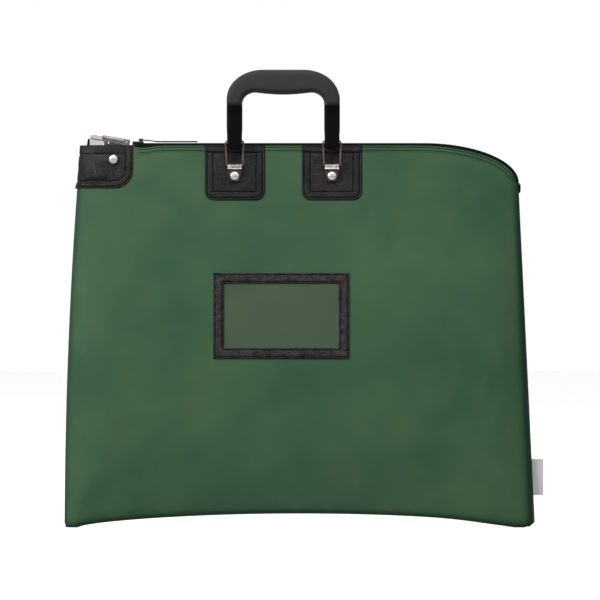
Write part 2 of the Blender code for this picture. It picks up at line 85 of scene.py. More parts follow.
# folds pressed into the cloth: start, end (X, Z), half width and height in mm
FOLDS = (
    ((-150, 345), (-215, 235), 16, 0.9), ((-185, 372), (-120, 330), 9, -0.8),
    ((-50, 350), (-10, 240), 22, -1.0), ((60, 350), (120, 205), 20, 0.9),
    ((105, 385), (200, 300), 15, -0.9), ((222, 345), (150, 160), 18, 0.8),
    ((-245, 30), (-150, 115), 14, 1.1), ((238, 25), (140, 120), 15, 1.0),
    ((-120, 150), (40, 128), 20, -0.8), ((-240, 250), (-130, 190), 13, -0.7),
    ((60, 190), (190, 240), 14, 0.7), ((-60, 60), (90, 85), 16, 0.8),
    ((-225, 130), (-160, 60), 9, -0.7), ((232, 200), (190, 110), 9, -0.7),
    ((-140, 300), (-105, 262), 8, 0.6), ((75, 330), (66, 250), 10, 0.6),
)


def clamp01(value):
    return min(1.0, max(0.0, value))


def smooth(value):
    value = clamp01(value)
    return value * value * (3.0 - 2.0 * value)


def mix(a, b, t):
    return a + (b - a) * t


def rounded(share):
    """A quarter circle's rise as share goes from 0 to 1."""
    return math.sqrt(1.0 - (1.0 - clamp01(share)) ** 2)


def near(distance, width):
    """1 on a line, falling away smoothly to both sides of it."""
    return math.exp(-(distance / width) ** 2)


def turns(count):
    """Even angles round a circle."""
    return [2.0 * math.pi * k / count for k in range(count)]


def left_edge(z):
    up = clamp01(z / CORNER_TOP_Z)
    return mix(BOTTOM_LEFT_X, TOP_LEFT_X, up) - LEFT_BOW * 4.0 * up * (1.0 - up)


def right_edge(z):
    return mix(BOTTOM_RIGHT_X, TOP_RIGHT_X, z / (TOP_Z - ARC_DROP))


def bottom_z(x):
    span = BOTTOM_RIGHT_X - BOTTOM_LEFT_X - 2.0 * FOOT
    across = clamp01((x - BOTTOM_LEFT_X - FOOT) / span)
    if not 0.0 < across < 1.0:
        return 0.0
    sag = SAG_DROP * near(x - SAG_X, SAG_WIDTH)
    return max(0.0, ARCH_RISE * math.sin(math.pi * across) ** 0.6 - sag)


def top_z(x):
    if x > ARC_START_X:
        across = clamp01((x - ARC_START_X) / (TOP_RIGHT_X - ARC_START_X))
        return TOP_Z - ARC_DROP + ARC_DROP * math.sqrt(1.0 - across * across)
    return mix(CORNER_TOP_Z, TOP_Z, smooth((x + 192.0) / 8.0))


def depth(x, z):
    """Half thickness of the filled bag at a point of its outline."""
    up = clamp01((z - bottom_z(x)) / (top_z(x) - bottom_z(x)))
    roof = mix(ROOF_DEPTH, ROOF_END_DEPTH, smooth((x - LIP_TURN_X) / (TOP_RIGHT_X - LIP_TURN_X)))
    pillow = mix(BASE_DEPTH, roof, up) + BELLY * math.sin(math.pi * up ** 0.75)
    roll = mix(FOOT, 50.0, smooth(z / 100.0))
    right_rim = EDGE_DEPTH + (ROOF_END_DEPTH - EDGE_DEPTH) * smooth((z - 340.0) / 32.0)
    for rim, distance in ((EDGE_DEPTH, x - left_edge(z)), (right_rim, right_edge(z) - x)):
        pillow = rim + (pillow - rim) * rounded(distance / roll)
    return pillow


def fold_height(x, z, fold):
    (x0, z0), (x1, z1), width, height = fold
    run = Vector((x1 - x0, z1 - z0))
    along = clamp01(Vector((x - x0, z - z0)).dot(run) / run.length_squared)
    away = (Vector((x, z)) - Vector((x0, z0)) - run * along).length
    return height * near(away, width) * math.sin(math.pi * mix(0.12, 0.88, along))


def creases(x, z, side):
    """How far the cloth stands out from its even form; fittings hold it flat round them."""
    shift = 0.0 if side < 0 else 417.0
    away = noise.noise(Vector(((x + shift) / 95.0, z / 75.0, 0.4))) * 1.3
    away += noise.noise(Vector(((x - shift) / 33.0, z / 27.0, 3.1))) * 0.5
    away += noise.noise(Vector((x / 11.0, (z + shift) / 9.0, 7.7))) * 0.10
    for fold in FOLDS:
        away += fold_height(x if side < 0 else -x, z, fold)
    rim = min(x - left_edge(z), right_edge(z) - x, (z - bottom_z(x)) * 2.0)
    hold = smooth(rim / 30.0)
    hold *= 1.0 - smooth((z - top_z(x) + 34.0) / 24.0)
    hold *= 1.0 - smooth((z - 335.0) / 20.0) * smooth((x + 125.0) / 15.0) * smooth((80.0 - x) / 15.0)
    hold *= 1.0 - smooth((-170.0 - x) / 16.0) * smooth((z - 348.0) / 18.0)
    return away * hold


def skin(x, z, side=-1):
    """Distance of the cloth's outer face from the middle plane."""
    return SEAM + depth(x, z) + creases(x, z, side)


def top_line(share):
    """Point and outward normal of the bag's top edge, by share of its length."""
    straight = ARC_START_X - TOP_LEFT_X
    width = TOP_RIGHT_X - ARC_START_X
    arc = 1.12 * (width + ARC_DROP) * math.pi / 4
    run = share * (straight + arc)
    if run <= straight:
        x = TOP_LEFT_X + run
        return x, top_z(x), 0.0, 1.0
    angle = math.pi / 2 * (1.0 - min(1.0, (run - straight) / arc))
    normal = Vector((math.cos(angle) * ARC_DROP, math.sin(angle) * width)).normalized()
    return (ARC_START_X + width * math.cos(angle),
            TOP_Z - ARC_DROP + ARC_DROP * math.sin(angle), normal.x, normal.y)


def dip(x):
    """How far the cloth's top edge sags beside the lock, where the zip starts."""
    return DIP_DROP * near(x - DIP_X, DIP_WIDTH)


def under_edge(share, inset):
    """A point of the cloth a little in from the top edge, lower where the tape shows deeper."""
    px, pz, nx, nz = top_line(share)
    below = inset + LIP_EXTRA * smooth((px - LIP_TURN_X) / 60.0)
    return px - nx * below, pz - nz * below - dip(px)


# ---- modelling helpers ----
def edit(piece, select="SELECT"):
    """Open a piece in edit mode with all of it, or nothing, selected."""
    bpy.ops.object.select_all(action="DESELECT")
    bpy.context.view_layer.objects.active = piece
    piece.select_set(True)
    bpy.ops.object.mode_set(mode="EDIT")
    bpy.ops.mesh.select_mode(type="FACE")
    bpy.ops.mesh.select_all(action=select)


def grid(rows, shape):
    """A grid of points, its rows given by shape(row, column)."""
    columns = len(rows[0])
    bpy.ops.mesh.primitive_grid_add(x_subdivisions=columns - 1, y_subdivisions=len(rows) - 1, size=1.0)
    piece = bpy.context.object
    for vert in piece.data.vertices:
        vert.co = shape(*divmod(vert.index, columns))
    return piece


def lofted(outer, inner, keep=None):
    """A closed shell between two nets of points; keep(row, column) leaves openings in it."""
    piece = grid(outer, lambda r, c: outer[r][c])
    columns = len(outer[0])
    home = piece.data.attributes.new("home", "INT", "POINT")
    home.data.foreach_set("value", range(len(piece.data.vertices)))
    edit(piece, "DESELECT")
    if keep:
        bpy.ops.object.mode_set(mode="OBJECT")
        for face in piece.data.polygons:
            face.select = not keep(*divmod(face.index, columns - 1))
        bpy.ops.object.mode_set(mode="EDIT")
        bpy.ops.mesh.delete(type="FACE")
    bpy.ops.mesh.select_all(action="SELECT")
    bpy.ops.mesh.extrude_region()
    bpy.ops.object.mode_set(mode="OBJECT")
    places = piece.data.attributes["home"].data
    for vert in piece.data.vertices:
        if vert.select:
            r, c = divmod(places[vert.index].value, columns)
            vert.co = inner[r][c]
    piece.data.attributes.remove(piece.data.attributes["home"])
    return piece


def shell(rows, columns, pair, keep=None):
    """A closed shell from pair(row, column), which gives its outer and its inner point."""
    net = [[pair(r, c) for c in columns] for r in rows]
    outer, inner = ([[both[k] for both in row] for row in net] for k in (0, 1))
    return lofted(outer, inner, keep)


def swept(sections, closed=False):
    """A tube through rings of points, capped at its ends or joined round into a loop."""
    rows = [ring + ring[:1] for ring in sections + (sections[:1] if closed else [])]
    piece = grid(rows, lambda r, c: rows[r][c])
    edit(piece)
    bpy.ops.mesh.remove_doubles(threshold=0.0005)
    if not closed:
        bpy.ops.mesh.select_all(action="DESELECT")
        bpy.ops.mesh.select_mode(type="EDGE")
        bpy.ops.mesh.select_non_manifold()
        bpy.ops.mesh.fill_holes(sides=0)
    bpy.ops.object.mode_set(mode="OBJECT")
    return piece


def dome_head(centre, radius, rim, rise):
    """A domed rivet head: half a flattened ball standing on a short rim, facing -Y."""
    bpy.ops.mesh.primitive_uv_sphere_add(segments=40, ring_count=24, radius=radius,
                                         rotation=(math.radians(90), 0.0, 0.0))
    piece = bpy.context.object
    piece.scale.z = rise / radius
    bpy.ops.object.transform_apply(location=False, rotation=True, scale=True)
    edit(piece)
    bpy.ops.mesh.bisect(plane_co=(0.0, 0.0, 0.0), plane_no=(0.0, 1.0, 0.0), use_fill=True,
                        clear_outer=True)
    bpy.ops.mesh.extrude_region_move(TRANSFORM_OT_translate={"value": (0.0, rim, 0.0)})
    bpy.ops.object.mode_set(mode="OBJECT")
    piece.data.transform(Matrix.Translation((centre[0], centre[1] - rim, centre[2])))
    return piece


def stitch(length, width, height):
    """One bead of thread lying along X."""
    bpy.ops.mesh.primitive_uv_sphere_add(segments=6, ring_count=6, radius=0.5,
                                         rotation=(0.0, math.radians(90), 0.0))
    bead = bpy.context.object
    bpy.ops.object.transform_apply(location=False, rotation=True, scale=False)
    bead.data.transform(Matrix.Diagonal((length, height, width, 1.0)))
    return bead


def copied(bead, places):
    """Copies of one small piece, each with its own mesh, joined into one."""
    copies = []
    for middle, along, out in places:
        along = along.normalized()
        across = along.cross(out).normalized()
        turn = Matrix((along, across.cross(along), across)).transposed().to_4x4()
        turn.translation = middle
        copy = bpy.data.objects.new("copy", bead.data.copy())
        copy.data.transform(turn)
        bpy.context.scene.collection.objects.link(copy)
        copies.append(copy)
    bpy.data.objects.remove(bead)
    bpy.ops.object.select_all(action="DESELECT")
    for copy in copies:
        copy.select_set(True)
    bpy.context.view_layer.objects.active = copies[0]
    bpy.ops.object.join()
    return bpy.context.object


def finished(name, piece, body, mat, angle=40.0, side=1.0):
    """Name a piece made in mm about the middle plane, place it, and give it body and finish."""
    piece.name = piece.data.name = name
    piece.data.transform(Matrix.Translation((0.0, MID_Y * MM, 0.0))
                         @ Matrix.Diagonal((MM, side * MM, MM, 1.0)))
    edit(piece)
    bpy.ops.mesh.normals_make_consistent(inside=False)
    bpy.ops.object.mode_set(mode="OBJECT")
    bpy.ops.object.shade_smooth_by_angle(angle=math.radians(angle))
    piece.data.materials.clear()
    piece.data.materials.append(mat)
    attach(piece, body)
    return piece


def walk(points, pitch):
    """Even places along a line of points, each with its direction."""
    places, carried = [], pitch / 2
    for a, b in zip(points, points[1:]):
        step = b - a
        length = step.length
        while carried < length:
            places.append((a + step * (carried / length), step.normalized()))
            carried += pitch
        carried -= length
    return places


def stitches(name, lines, body, mat, pitch=3.0, length=2.3, width=0.55, height=0.5, side=1.0):
    """Rows of thread along lines of points on the front of the bag."""
    places = [(middle, along, Vector((0, -1, 0))) for points in lines
              for middle, along in walk(points, pitch)]
    return finished(name, copied(stitch(length, width, height), places), body, mat, side=side)


# ---- shader groups and materials ----
def feed(tree, socket, value):
    """Link a socket to another one's output, or set it to a plain value."""
    if isinstance(value, bpy.types.NodeSocket):
        tree.links.new(value, socket)
    else:
        socket.default_value = value


def add(tree, kind, inputs=(), **settings):
    node = tree.nodes.new("ShaderNode" + kind)
    for key, value in settings.items():
        setattr(node, key, value)
    for key, value in dict(inputs).items():
        feed(tree, node.inputs[key], value)
    return node


def maths(tree, operation, *values):
    return add(tree, "Math", enumerate(values), operation=operation).outputs[0]


def texture(tree, kind, vector, scale, **inputs):
    return add(tree, kind, {"Vector": vector, "Scale": scale, **inputs})


def ranged(tree, value, **ends):
    """A value carried from one range to another."""
    ends = {key.replace("_", " "): end for key, end in ends.items()}
    return add(tree, "MapRange", {"Value": value, **ends}).outputs[0]


def group(name, setting, value, outputs):
    """A shader group that takes a Vector and one setting."""
    tree = bpy.data.node_groups.new(name, "ShaderNodeTree")
    tree.interface.new_socket("Vector", in_out="INPUT", socket_type="NodeSocketVector")
    tree.interface.new_socket(setting, in_out="INPUT", socket_type="NodeSocketFloat").default_value = value
    for label in outputs:
        tree.interface.new_socket(label, in_out="OUTPUT", socket_type="NodeSocketFloat")
    given = tree.nodes.new("NodeGroupInput").outputs
    return tree, given["Vector"], given[setting], tree.nodes.new("NodeGroupOutput").inputs


def weave_group():
    """Plain weave: threads over and under in X and Z, with a little unevenness."""
    tree, where, threads, out = group("plain_weave", "Threads", 1500.0, ("Height", "Unevenness"))
    split = add(tree, "SeparateXYZ", {0: where}).outputs
    waves = [maths(tree, "SINE", maths(tree, "MULTIPLY", split[i], threads)) for i in (0, 2)]
    uneven = texture(tree, "TexNoise", where, 220.0, Detail=3.0).outputs[0]
    feed(tree, out["Height"], maths(tree, "ADD", maths(tree, "MULTIPLY", *waves),
                                    maths(tree, "MULTIPLY", uneven, 0.8)))
    feed(tree, out["Unevenness"], uneven)
    return tree


def grain_group():
    """Pressed leather grain: small cells with creases between them."""
    tree, where, scale, out = group("leather_grain", "Scale", 700.0, ("Height", "Shade"))
    warp = texture(tree, "TexNoise", where, 120.0, Detail=2.0).outputs["Color"]
    bent = add(tree, "VectorMath", {0: warp, 1: (0.003, 0.003, 0.003), 2: where},
               operation="MULTIPLY_ADD").outputs[0]
    cells = texture(tree, "TexVoronoi", bent, scale)
    cells.feature = "DISTANCE_TO_EDGE"
    edge = maths(tree, "MINIMUM", maths(tree, "MULTIPLY", cells.outputs["Distance"], 4.0), 1.0)
    broad = texture(tree, "TexNoise", where, 60.0, Detail=4.0).outputs[0]
    feed(tree, out["Height"], maths(tree, "ADD", edge, broad))
    feed(tree, out["Shade"], broad)
    return tree


def smudge_group():
    """Soft handling marks: a mask from 0 to 1 that changes slowly over a surface."""
    tree, where, scale, out = group("handling_marks", "Scale", 25.0, ("Mask", "Fine"))
    broad = texture(tree, "TexNoise", where, scale, Detail=5.0, Roughness=0.6).outputs[0]
    fine = texture(tree, "TexNoise", where, 900.0, Detail=2.0).outputs[0]
    feed(tree, out["Mask"], ranged(tree, broad, From_Min=0.35, From_Max=0.65))
    feed(tree, out["Fine"], fine)
    return tree


WEAVE, GRAIN, SMUDGE = weave_group(), grain_group(), smudge_group()


class Finish:
    """A Principled material with object coordinates and helpers for its detail."""

    def __init__(self, name, colour, roughness, metallic=0.0, **constants):
        self.mat = bpy.data.materials.new(name)
        self.mat.use_nodes = True
        self.tree = self.mat.node_tree
        self.sockets = self.tree.nodes["Principled BSDF"].inputs
        self.where = add(self.tree, "TexCoord").outputs["Object"]
        self.sockets["Base Color"].default_value = (*colour, 1.0)
        self.sockets["Roughness"].default_value = roughness
        self.sockets["Metallic"].default_value = metallic
        for key, value in constants.items():
            self.sockets[key.replace("_", " ")].default_value = value

    def detail(self, tree, **values):
        return add(self.tree, "Group", {"Vector": self.where, **values}, node_tree=tree).outputs

    def colours(self, mask, low, high):
        low = low if isinstance(low, bpy.types.NodeSocket) else (*low, 1.0)
        mixed = add(self.tree, "Mix", {"Factor": mask, "A": low, "B": (*high, 1.0)}, data_type="RGBA")
        self.tree.links.new(mixed.outputs["Result"], self.sockets["Base Color"])
        return mixed.outputs["Result"]

    def roughness(self, mask, low, high):
        feed(self.tree, self.sockets["Roughness"], ranged(self.tree, mask, To_Min=low, To_Max=high))

    def bump(self, height, strength, distance):
        pressed = add(self.tree, "Bump", {"Strength": strength, "Distance": distance, "Height": height})
        self.tree.links.new(pressed.outputs[0], self.sockets["Normal"])


def nylon_finish():
    """Laminated nylon: fine weave, soft mottling, and painted shade darkening it along the rims and seams."""
    f = Finish("green_nylon", (0.045, 0.100, 0.055), 0.5, IOR=1.16)
    marks = f.detail(SMUDGE, Scale=9.0)["Mask"]
    mottled = f.colours(marks, (0.032, 0.080, 0.044), (0.051, 0.104, 0.053))
    # painted shade: the cloth is coloured darker near the rims, where it rolls away from the light
    edge = add(f.tree, "Attribute", attribute_name="painted_rim_shade").outputs["Fac"]
    f.colours(edge, mottled, (0.010, 0.032, 0.018))
    f.roughness(marks, 0.46, 0.58)
    f.bump(f.detail(WEAVE, Threads=5200.0)["Height"], 0.25, 0.0001)
    return f.mat


def vinyl_finish(name, low, high, scale=560.0, strength=0.5, patches=45.0):
    """Grained black vinyl with greyer, purplish patches: partly handling marks and partly a painted sheen."""
    f = Finish(name, low, 0.42, Specular_IOR_Level=0.18)
    grain = f.detail(GRAIN, Scale=scale)
    # painted sheen: the lighter purplish tint stands partly for the vinyl's sheen and partly for handling
    # marks
    f.colours(f.detail(SMUDGE, Scale=patches)["Mask"], low, high)
    f.roughness(grain["Shade"], 0.25, 0.5)
    f.bump(grain["Height"], strength, 0.0003)
    return f.mat


def moulded_finish():
    """Handle plastic: a satin grip above glossy legs, by height."""
    f = Finish("moulded_handle", (0.02, 0.02, 0.02), 0.4, Specular_IOR_Level=0.1)
    height = add(f.tree, "SeparateXYZ", {0: f.where}).outputs[2]
    satin = ranged(f.tree, height, From_Min=0.4545, From_Max=0.4595)
    f.colours(satin, (0.0008, 0.0007, 0.0007), (0.031, 0.030, 0.030))
    rough = maths(f.tree, "ADD", maths(f.tree, "MULTIPLY", satin, 0.28),
                  maths(f.tree, "MULTIPLY", f.detail(SMUDGE, Scale=60.0)["Mask"], 0.08))
    feed(f.tree, f.sockets["Roughness"], maths(f.tree, "ADD", rough, 0.20))
    f.bump(maths(f.tree, "MULTIPLY", f.detail(GRAIN, Scale=1600.0)["Height"], satin), 0.25, 0.0001)
    return f.mat


def metal_finish(name, low, high, smooth_rough, worn_rough, brushed=0.0):
    """Plated metal with fine wear; brushed stretches its scratches along X."""
    f = Finish(name, low, smooth_rough, 1.0)
    marks = f.detail(SMUDGE, Scale=140.0)
    f.colours(marks["Mask"], low, high)
    f.roughness(marks["Mask"], smooth_rough, worn_rough)
    if brushed:
        along = add(f.tree, "Mapping", {"Scale": (0.03, 1.0, 1.0), "Vector": f.where}).outputs[0]
        f.bump(texture(f.tree, "TexNoise", along, 3500.0, Detail=2.0).outputs[0], brushed, 0.0001)
    else:
        f.bump(marks["Fine"], 0.04, 0.0001)
    return f.mat


def cloth_finish(name, low, high, threads, strength=0.5):
    f = Finish(name, low, 0.85, Specular_IOR_Level=0.08)
    weave = f.detail(WEAVE, Threads=threads)
    f.colours(weave["Unevenness"], low, high)
    f.bump(weave["Height"], strength, 0.00015)
    return f.mat


def film_finish():
    """Clear flexible film with faint haze and handling marks."""
    f = Finish("clear_film", (0.14, 0.12, 0.11), 0.2, Alpha=0.1, Specular_IOR_Level=0.2)
    marks = f.detail(SMUDGE, Scale=30.0)["Mask"]
    f.roughness(marks, 0.12, 0.24)
    f.colours(marks, (0.13, 0.11, 0.10), (0.17, 0.14, 0.13))
    f.bump(marks, 0.12, 0.0004)
    return f.mat


def plastic_finish(name, low, high, roughness):
    f = Finish(name, low, roughness)
    marks = f.detail(SMUDGE, Scale=90.0)
    f.colours(marks["Mask"], low, high)
    f.roughness(marks["Mask"], roughness, roughness + 0.15)
    f.bump(marks["Fine"], 0.1, 0.0001)
    return f.mat


def bolt_finish():
    """Bright bolt face with painted shade, near black, along its outer end."""
    f = Finish("bolt_steel", (0.8, 0.78, 0.77), 0.14, 1.0)
    along = add(f.tree, "SeparateXYZ", {0: f.where}).outputs[0]
    # painted shade: the bolt's outer end is coloured near black
    f.colours(maths(f.tree, "GREATER_THAN", along, BOLT_SHADE_X * MM),
              (0.02, 0.02, 0.02), (0.80, 0.78, 0.77))
    f.roughness(f.detail(SMUDGE, Scale=140.0)["Mask"], 0.12, 0.25)
    return f.mat


NYLON = nylon_finish()
VINYL = vinyl_finish("black_vinyl", (0.0008, 0.0008, 0.0008), (0.011, 0.009, 0.0102))
FRAME_VINYL = vinyl_finish("frame_leatherette", (0.002, 0.002, 0.002), (0.034, 0.027, 0.031),
                           420.0, 1.0, 170.0)
HANDLE_PLASTIC = moulded_finish()
FILM = film_finish()
CHROME = metal_finish("polished_chrome", (0.82, 0.80, 0.79), (0.70, 0.68, 0.67), 0.10, 0.2)
STEEL = metal_finish("satin_steel", (0.27, 0.24, 0.25), (0.15, 0.135, 0.14), 0.26, 0.42, 0.3)
NICKEL = metal_finish("warm_nickel", (0.40, 0.36, 0.34), (0.27, 0.235, 0.22), 0.24, 0.38)
BRONZE = metal_finish("bronzed_wire", (0.30, 0.205, 0.165), (0.19, 0.125, 0.10), 0.24, 0.4)
BOLT_STEEL = bolt_finish()
DARK_STEEL = metal_finish("blackened_steel", (0.05, 0.05, 0.052), (0.09, 0.088, 0.088), 0.3, 0.45)
TAPE = cloth_finish("zip_tape", (0.002, 0.002, 0.002), (0.006, 0.006, 0.006), 4200.0)
COIL = plastic_finish("zip_coil", (0.010, 0.010, 0.011), (0.020, 0.020, 0.021), 0.35)
BLACK_THREAD = cloth_finish("black_thread", (0.001, 0.001, 0.001), (0.004, 0.004, 0.004), 9000.0)
GREEN_THREAD = cloth_finish("dark_green_thread", (0.002, 0.006, 0.003), (0.006, 0.014, 0.008), 9000.0)
LABEL_CLOTH = cloth_finish("label_cloth", (0.50, 0.47, 0.49), (0.62, 0.58, 0.60), 3600.0, 0.4)
BOARD = plastic_finish("stiffener_board", (0.16, 0.16, 0.15), (0.22, 0.22, 0.21), 0.6)


# ---- the cloth bag ----
def crowd(share, strength=0.55):
    """Shares crowded towards both ends, where the cloth rolls over."""
    return share - strength * math.sin(2.0 * math.pi * share) / (2.0 * math.pi)


def cloth_panel(name, node, side, columns=170, rows=120):
    """A lofted shell of cloth that rolls under at the bottom and in at its side seams."""
    outer, inner = [], []
    tops = [top_line(crowd(c / columns)) for c in range(columns + 1)]
    lows = []
    for px, pz, nx, nz in tops:
        share = (px - TOP_LEFT_X) / (TOP_RIGHT_X - TOP_LEFT_X)
        x_low = mix(BOTTOM_LEFT_X, BOTTOM_RIGHT_X, share)
        lows.append((x_low, bottom_z(x_low), share))
    roll_rows = [(0.0, 0.0), (0.25, 0.0)]
    roll_rows += [(0.5 + 0.5 * math.sin(math.radians(a)), 6.0 * (1.0 - math.cos(math.radians(a))))
                  for a in range(0, 91, 10)]
    body_rows = [(1.0, i / rows) for i in range(1, rows + 1)]
    for kind, table in (("roll", roll_rows), ("body", body_rows)):
        for out, value in table:
            outer_row, inner_row = [], []
            for (px, pz, nx, nz), (x_low, z_low, share) in zip(tops, lows):
                x_top, z_top = px - 1.8 * nx, pz - 1.8 * nz - dip(px)
                z = z_low + value if kind == "roll" else mix(z_low + 6.0, z_top, value)
                up = (z - z_low) / (z_top - z_low)
                x = mix(x_low, x_top, up) - LEFT_BOW * 4.0 * up * (1.0 - up) * (1.0 - share)
                rounded = BOTTOM_CORNER_ROUND * smooth((x - BOTTOM_RIGHT_X + 12.0) / 12.0)
                lift = rounded * (1.0 - clamp01(z / BOTTOM_CORNER_ROUND)) ** 2 * 0.6
                thick = depth(x, z) + creases(x, z, -1 if side > 0 else 1)
                outer_row.append((x - lift * 0.8, -0.02 - out * (thick + SEAM), z + lift))
                inner_row.append((x - lift * 0.8, -0.02 - out * max(thick - 1.0, 0.4),
                                  z + 1.0 * (1.0 - up) + lift))
            outer.append(outer_row)
            inner.append(inner_row)
    form = lofted(outer, inner)
    piece = finished(name, paint_rim_shade(form), "root", NYLON, angle=75.0, side=side)
    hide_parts(node)
    return piece


def paint_rim_shade(piece):
    """Mark how near each point is to the bag's rim, for the painted shade on the cloth there."""
    shade = piece.data.attributes.new("painted_rim_shade", "FLOAT", "POINT")
    for vert, value in zip(piece.data.vertices, shade.data):
        x, _, z = vert.co
        value.value = min(0.95, 0.95 * near(max(0.0, right_edge(z) - x - 3.0), 5.0)
                          + 0.55 * near(max(0.0, x - left_edge(z)), 3.5)
                          + 0.6 * near(max(0.0, z - bottom_z(x)), 7.0)
                          + 0.35 * near(max(0.0, top_z(x) - z), 5.0))
    return piece


def edge_line(inset, share_from, share_to, count, lift, side_kind=-1):
    """Points on the cloth a little below the top edge, following its curve."""
    points = []
    for i in range(count + 1):
        x, z = under_edge(mix(share_from, share_to, i / count), inset)
        points.append(Vector((x, -skin(x, z, side_kind) - lift, z)))
    return points


def hem(name, side):
    """The turned hem below the zip, with its two rows of stitches."""
    kind = -1 if side > 0 else 1
    start, end = 0.122, 0.985
    insets = (1.4, 2.2, 3.6, 4.5, 5.4, 6.2, 7.4, 8.0, 8.6, 9.2, 9.9, 10.6)
    raised = (0.1, 0.3, 0.45, 0.55, 0.05, 0.55, 0.6, 0.5, 0.05, 0.4, 0.3, 0.02)

    def faces(i, level):
        x, z = under_edge(mix(start, end, i / 260), level[0])
        out = skin(x, z, kind)
        return (x, -out - level[1], z), (x, -out + 0.3, z)

    form = shell(range(261), list(zip(insets, raised)), faces)
    finished("top_hem_" + name, paint_rim_shade(form), "root", NYLON, angle=80.0, side=side)
    rows = [edge_line(inset, start + 0.004, end, 240, 0.34, kind) for inset in HEM_ROWS]
    stitches("hem_stitches_" + name, rows, "root", GREEN_THREAD, side=side,
             pitch=3.0, length=2.6, width=1.05, height=0.75)


def side_seams():
    """Piped seams where the two cloth panels are sewn together down the sides and bottom."""
    points, widths = [], []
    for i in range(60):
        z = mix(367.0, 5.0, i / 59)
        points.append(Vector((left_edge(z), 0.0, z)))
        widths.append(2.2)
    for i in range(121):
        x = mix(BOTTOM_LEFT_X + 1.0, BOTTOM_RIGHT_X - 5.0, i / 120)
        points.append(Vector((x, 0.0, bottom_z(x) + 1.6)))
        widths.append(1.7)
    for i in range(70):
        z = mix(6.0, 368.0, i / 69)
        points.append(Vector((right_edge(z) - 1.8 * (z / 372.0), 0.0, z)))
        widths.append(2.3 + 3.0 * smooth((z - 340.0) / 32.0))
    sections = []
    for i, (point, width) in enumerate(zip(points, widths)):
        along = (points[min(i + 1, len(points) - 1)] - points[max(i - 1, 0)]).normalized()
        across = along.cross(Vector((0, 1, 0))).normalized()
        sections.append([tuple(point + across * (1.1 * math.cos(a)) + Vector((0, width * math.sin(a), 0)))
                         for a in turns(16)])
    form = swept(sections)
    finished("side_seam", paint_rim_shade(form), "root", NYLON, angle=60.0)


# ---- zip ----
def zip_halves():
    for name, side in (("front", 1.0), ("back", -1.0)):
        front, back = [], []
        for i in range(241):
            px, pz, nx, nz = top_line(mix(0.1165, 1.0, i / 240))
            width = depth(px, pz) + SEAM
            lip = 3.2 + LIP_EXTRA * smooth((px - LIP_TURN_X) / 60.0)
            over = [SEAM + depth(px - nx * d, pz - nz * d) for d in (1.3, 2.4, lip)]
            profile = [(3.0, 0.7), (width - 2.0, 0.62), (width - 0.4, 0.75), (over[0] + 0.5, 1.3),
                       (over[1] + 0.85, 2.4), (over[2] + 0.85, lip)]
            inner = [(3.0, 1.4), (width - 2.0, 1.4), (width - 0.9, 1.5), (over[0] - 0.2, 1.75),
                     (over[1] + 0.2, 2.5), (over[2] + 0.2, lip)]
            sag = dip(px)
            front.append([(px - nx * d, -o, pz - nz * d - sag * (d > 3)) for o, d in profile])
            back.append([(px - nx * d, -o, pz - nz * d - sag * (d > 3)) for o, d in inner])
        form = lofted(front, back)
        tape = finished("zip_tape_cloth_" + name, form, "root", TAPE,
                         angle=70.0, side=side)
        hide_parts("zip_tape_" + name)
        line = []
        for i in range(401):
            px, pz, nx, nz = top_line(mix(0.1175, 0.998, i / 400))
            line.append(Vector((px - nx * 1.15, -1.85, pz - nz * 1.15)))
        shift = 0.0 if side > 0 else 0.9
        places = [(middle + along * shift, Vector((0, 1, 0)), along)
                  for middle, along in walk(line, COIL_PITCH)]
        teeth = copied(stitch(1.95, 1.9, 1.15), places)
        rail = swept([[tuple(p + Vector((0, -0.75 + 0.35 * math.cos(a), 0.35 * math.sin(a))))
                       for a in turns(6)] for p in line])
        bpy.ops.object.select_all(action="DESELECT")
        teeth.select_set(True)
        rail.select_set(True)
        bpy.context.view_layer.objects.active = rail
        bpy.ops.object.join()
        chain = finished("zip_coil_" + name, rail, "root", COIL, side=side)
        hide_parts("zip_teeth_" + name)


def zip_end():
    """The zip's tape ends, turned down past the end stop and bound together."""
    sections = []
    for k in range(15):
        t = k / 14
        z = mix(371.5, 362.0, t)
        full = math.sqrt(max(0.02, 1.0 - max(0.0, (t - 0.6) / 0.4) ** 2))
        x = mix(TOP_RIGHT_X - 0.2, right_edge(362.0) - 0.6, t ** 1.5)
        sections.append([(x + 1.9 * full * math.cos(a), 4.6 * full * math.sin(a), z)
                         for a in turns(16)])
    form = swept(sections)
    finished("zip_end_binding", form, "root", TAPE, angle=60.0)


# ---- vinyl plates ----
def rounded_distance(x, z, x0, x1, z0, z1, radius):
    """Distance inside a rectangle whose two lower corners are rounded."""
    r = radius if z < z0 + radius else 0.0
    cx = min(max(x, x0 + r), x1 - r)
    cz = max(z, z0 + r)
    if r and cx != x and cz != z:
        return r - math.hypot(x - cx, z - cz)
    return min(x - x0, x1 - x, z - z0, z1 - z)


def into_round(x, z, x0, x1, z0, radius):
    """Move a point of a square corner into a rounded one."""
    for corner, sign in ((x0 + radius, -1.0), (x1 - radius, 1.0)):
        a, b = (x - corner) * sign / radius, (z0 + radius - z) / radius
        if a > 0.0 and b > 0.0:
            squeeze = max(a, b) / math.hypot(a, b)
            return corner + sign * a * squeeze * radius, z0 + radius - b * squeeze * radius
    return x, z


def groove(distance, rows, width=0.6, deep=0.55):
    """How deep the thread has pulled a surface in along rows of stitches."""
    return sum(deep * near(distance - row, width) for row in rows)


